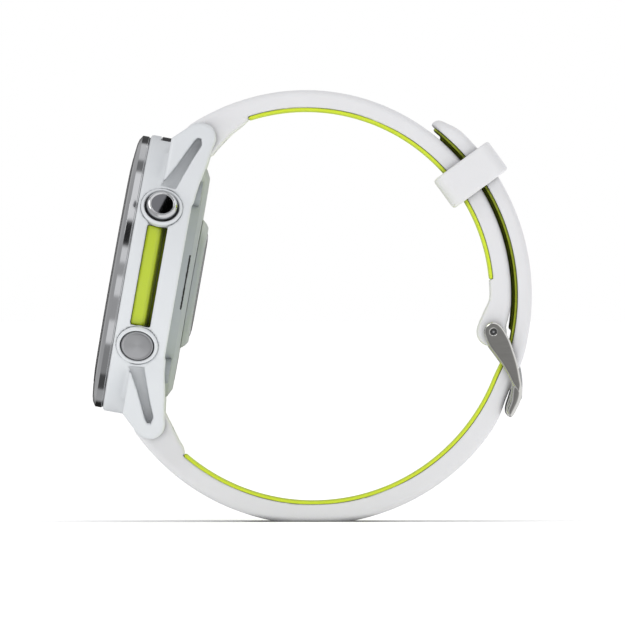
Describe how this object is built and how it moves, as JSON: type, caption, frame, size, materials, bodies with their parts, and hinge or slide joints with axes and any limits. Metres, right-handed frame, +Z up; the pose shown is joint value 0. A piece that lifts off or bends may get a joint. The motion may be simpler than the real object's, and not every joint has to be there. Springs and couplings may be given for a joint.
{
  "type": "gps running watch",
  "caption": "Round sports watch with side buttons, optical sensor back and two-tone silicone strap buckled into a closed loop.",
  "frame": {"origin": "on the ground under the middle of the buckled loop", "axes": "+X from the case to the buckle, +Y from the 3 o'clock side to the 9 o'clock side, +Z up"},
  "size_m": [0.0734, 0.0474, 0.072],
  "materials": {
    "case_polymer": "fine satin moulding, fibre reinforced, pale grey",
    "back_polymer": "satin moulding, mid grey",
    "bezel_metal": "turned and polished titanium",
    "lens_glass": "polished sapphire",
    "display": "display panel, off",
    "black_polymer": "moulded",
    "circuit_board": "solder resist",
    "shield_steel": "tinned sheet",
    "battery_foil": "laminated foil",
    "foam": "adhesive foam",
    "seal_rubber": "moulded",
    "spring_steel": "bright",
    "gold_contact": "gold plated",
    "sensor_glass": "dark filtered lens",
    "led_package": "phosphor",
    "flex_film": "polyimide film",
    "accent_lime": "gloss, lime",
    "band_silicone": "silicone, pale grey",
    "liner_silicone": "silicone, lime",
    "link_polymer": "moulded",
    "steel_button": "polished and spun",
    "pin_steel": "ground",
    "buckle_steel": "brushed with polished edges"
  },
  "bodies": {
    "case": {"case_body": "case_polymer", "bezel": "bezel_metal", "display_lens": "lens_glass", "lens_gasket": "seal_rubber", "display_module": "display", "display_chassis": "black_polymer", "main_board": "circuit_board", "antenna_contacts": "gold_contact", "shield_cans": "shield_steel", "battery": "battery_foil", "battery_pad": "foam", "vibration_motor": "shield_steel", "speaker": "black_polymer", "pressure_sensor": "shield_steel", "caseback": "back_polymer", "caseback_gasket": "seal_rubber", "caseback_screws": "pin_steel", "sensor_window": "sensor_glass", "sensor_ring": "back_polymer", "sensor_board": "circuit_board", "sensor_leds": "led_package", "photodiodes": "sensor_glass", "charging_port": "black_polymer", "charging_contacts": "gold_contact", "accent_strip": "accent_lime", "flashlight_window": "sensor_glass", "flashlight_board": "led_package", "button_guards": "steel_button", "button_seals": "seal_rubber", "button_springs": "spring_steel", "button_switches": "shield_steel", "switch_flex": "flex_film", "lug_pins": "pin_steel", "lower_end_link": "link_polymer", "lower_latch_spring": "spring_steel", "lower_strap_liner": "liner_silicone", "lower_strap_band": "band_silicone"},
    "upper_strap": {"upper_strap_band": "band_silicone", "upper_strap_liner": "liner_silicone", "upper_end_link": "link_polymer", "upper_latch_spring": "spring_steel", "buckle_pin": "pin_steel"},
    "keeper": {"strap_keeper": "band_silicone"},
    "buckle": {"buckle_frame": "buckle_steel"},
    "tang": {"buckle_tang": "buckle_steel"},
    "upper_latch_slider": {"upper_latch": "link_polymer"},
    "lower_latch_slider": {"lower_latch": "link_polymer"},
    "start": {"start_button": "steel_button", "start_clip": "spring_steel"},
    "back": {"back_button": "steel_button", "back_clip": "spring_steel"},
    "light": {"light_button": "steel_button", "light_clip": "spring_steel"},
    "up": {"up_button": "steel_button", "up_clip": "spring_steel"},
    "down": {"down_button": "steel_button", "down_clip": "spring_steel"}
  },
  "joints": [
    {"name": "strap_swing", "type": "hinge", "parent": "case", "child": "upper_strap", "pos_m": [-0.01863, 0, 0.06404], "axis": [0, -1, 0], "range_deg": [-4, 8], "stiffness_Nm_per_rad": 1.2, "deforming": ["lower_strap_band", "lower_strap_liner"]},
    {"name": "keeper_slide", "type": "hinge", "parent": "upper_strap", "child": "keeper", "pos_m": [-0.0011, 0, 0.03773], "axis": [0, -1, 0], "range_deg": [-24, 9]},
    {"name": "buckle_swing", "type": "hinge", "parent": "upper_strap", "child": "buckle", "pos_m": [0.03015, 0, 0.03168], "axis": [0, -1, 0], "range_deg": [0, 6]},
    {"name": "tang_swing", "type": "hinge", "parent": "buckle", "child": "tang", "pos_m": [0.03015, 0, 0.03168], "axis": [0, -1, 0], "range_deg": [0, 8]},
    {"name": "upper_latch_slide", "type": "slide", "parent": "upper_strap", "child": "upper_latch_slider", "axis": [0.8321, 0, 0.5546], "range_m": [0, 0.002], "stiffness_N_per_m": 600, "springref_m": -0.001, "deforming": ["upper_latch_spring"]},
    {"name": "lower_latch_slide", "type": "slide", "parent": "case", "child": "lower_latch_slider", "axis": [0.5837, 0, -0.812], "range_m": [0, 0.002], "stiffness_N_per_m": 600, "springref_m": -0.001, "deforming": ["lower_latch_spring"]},
    {"name": "start_press", "type": "slide", "parent": "case", "child": "start", "axis": [-0.0877, 0.866, -0.4923], "range_m": [0, 0.00055], "stiffness_N_per_m": 3000, "springref_m": -0.0003},
    {"name": "back_press", "type": "slide", "parent": "case", "child": "back", "axis": [0.0877, 0.866, 0.4923], "range_m": [0, 0.00055], "stiffness_N_per_m": 3000, "springref_m": -0.0003},
    {"name": "light_press", "type": "slide", "parent": "case", "child": "light", "axis": [-0.0877, -0.866, -0.4923], "range_m": [0, 0.00055], "stiffness_N_per_m": 3000, "springref_m": -0.0003},
    {"name": "up_press", "type": "slide", "parent": "case", "child": "up", "axis": [0, -1, 0], "range_m": [0, 0.00055], "stiffness_N_per_m": 3000, "springref_m": -0.0003},
    {"name": "down_press", "type": "slide", "parent": "case", "child": "down", "axis": [0.0877, -0.866, 0.4923], "range_m": [0, 0.00055], "stiffness_N_per_m": 3000, "springref_m": -0.0003}
  ]
}
